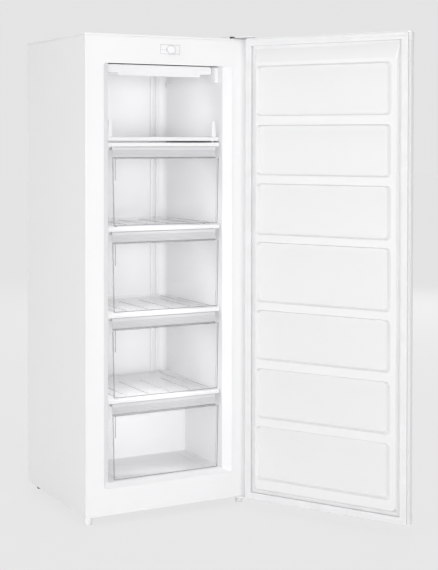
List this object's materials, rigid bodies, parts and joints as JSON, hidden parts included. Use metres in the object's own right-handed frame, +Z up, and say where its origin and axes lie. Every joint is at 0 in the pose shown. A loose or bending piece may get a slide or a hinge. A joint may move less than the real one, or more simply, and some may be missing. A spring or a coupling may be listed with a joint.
{
  "type": "upright freezer",
  "caption": "Tall white freezer with its door standing open, clear drawers with grey handle bands on refrigerated shelves, and a top compartment with a push-in flap",
  "frame": {"origin": "On the floor, under the middle of the box that holds the freezer with its door open as it rests", "axes": "+Z up. The cabinet's front looks along -Y and the door is hinged on the cabinet's +X side"},
  "size_m": [0.817, 0.9932, 1.45],
  "materials": {
    "white_paint": "satin white baked paint on sheet steel and on the aluminium evaporator",
    "white_plastic": "white moulded plastic with a fine grain",
    "liner_plastic": "vacuum-formed white liner with a soft gloss",
    "grey_plastic": "light grey moulded plastic",
    "clear_plastic": "clear injection-moulded drawer plastic",
    "soft_vinyl": "soft white vinyl door seal",
    "foam": "rigid insulating foam",
    "zinc_steel": "zinc-coated sheet steel",
    "copper": "drawn copper tube",
    "black_enamel": "black enamelled compressor shell",
    "black_plastic": "black moulded plastic"
  },
  "bodies": {
    "cabinet": {"front_frame": "white_paint", "side_panel_left": "white_paint", "side_panel_right": "white_paint", "top_panel": "white_plastic", "rear_panel": "zinc_steel", "base_pan": "zinc_steel", "bay_divider": "zinc_steel", "cabinet_foam": "foam", "inner_liner": "liner_plastic", "control_bezel": "white_plastic", "thermostat_body": "black_plastic", "evaporator_ceiling": "white_paint", "evaporator_shelf_1": "white_paint", "evaporator_shelf_2": "white_paint", "evaporator_shelf_3": "white_paint", "evaporator_shelf_4": "white_paint", "shelf_trim_1": "white_plastic", "shelf_trim_2": "white_plastic", "shelf_trim_3": "white_plastic", "shelf_trim_4": "white_plastic", "riser_supply": "white_paint", "riser_return": "white_paint", "sensor_clip": "grey_plastic", "top_tray": "white_plastic", "flap_bracket_left": "white_plastic", "flap_bracket_right": "white_plastic", "compressor": "black_enamel", "relay_cover": "black_plastic", "compressor_rail": "zinc_steel", "drier_filter": "copper", "discharge_tube": "copper", "suction_tube": "copper", "cord_gland": "black_plastic", "top_hinge_plate": "zinc_steel", "top_hinge_cover": "white_plastic", "bottom_hinge_bracket": "white_paint", "rear_foot_left": "black_plastic", "rear_foot_right": "black_plastic"},
    "door": {"door_skin": "white_paint", "door_foam": "foam", "door_liner": "liner_plastic", "door_gasket": "soft_vinyl", "door_top_cap": "white_plastic", "door_bottom_cap": "white_plastic", "hinge_bush_top": "grey_plastic", "hinge_bush_bottom": "grey_plastic", "door_grip": "grey_plastic"},
    "drawer_1": {"drawer_tub_1": "clear_plastic", "drawer_handle_1": "grey_plastic"},
    "drawer_2": {"drawer_tub_2": "clear_plastic", "drawer_handle_2": "grey_plastic"},
    "drawer_3": {"drawer_tub_3": "clear_plastic", "drawer_handle_3": "grey_plastic"},
    "drawer_4": {"drawer_tub_4": "clear_plastic", "drawer_handle_4": "grey_plastic"},
    "compartment_flap": {"flap": "white_plastic"},
    "knob": {"thermostat_knob": "white_plastic"},
    "foot_left": {"front_foot_left": "white_plastic"},
    "foot_right": {"front_foot_right": "white_plastic"}
  },
  "joints": [
    {"name": "door_hinge", "type": "hinge", "parent": "cabinet", "child": "door", "pos_m": [0.12853, -0.01638, 0.7326], "axis": [0, 0, 1], "range_deg": [-119.2, 16]},
    {"name": "drawer_slide_1", "type": "slide", "parent": "cabinet", "child": "drawer_1", "axis": [0, -1, 0], "range_m": [0, 0.28]},
    {"name": "drawer_slide_2", "type": "slide", "parent": "cabinet", "child": "drawer_2", "axis": [0, -1, 0], "range_m": [0, 0.28]},
    {"name": "drawer_slide_3", "type": "slide", "parent": "cabinet", "child": "drawer_3", "axis": [0, -1, 0], "range_m": [0, 0.28]},
    {"name": "drawer_slide_4", "type": "slide", "parent": "cabinet", "child": "drawer_4", "axis": [0, -1, 0], "range_m": [0, 0.17]},
    {"name": "flap_hinge", "type": "hinge", "parent": "cabinet", "child": "compartment_flap", "pos_m": [-0.13597, 0.09062, 1.341], "axis": [-1, 0, 0], "range_deg": [0, 90]},
    {"name": "thermostat_turn", "type": "hinge", "parent": "cabinet", "child": "knob", "pos_m": [-0.13147, 0.01162, 1.3985], "axis": [0, -1, 0], "range_deg": [0, 270]},
    {"name": "foot_left_turn", "type": "hinge", "parent": "cabinet", "child": "foot_left", "pos_m": [-0.39047, 0.04162, 0.012], "axis": [0, 0, 1], "range_deg": [-180, 180]},
    {"name": "foot_right_turn", "type": "hinge", "parent": "cabinet", "child": "foot_right", "pos_m": [0.11853, 0.04162, 0.012], "axis": [0, 0, 1], "range_deg": [-180, 180]}
  ]
}
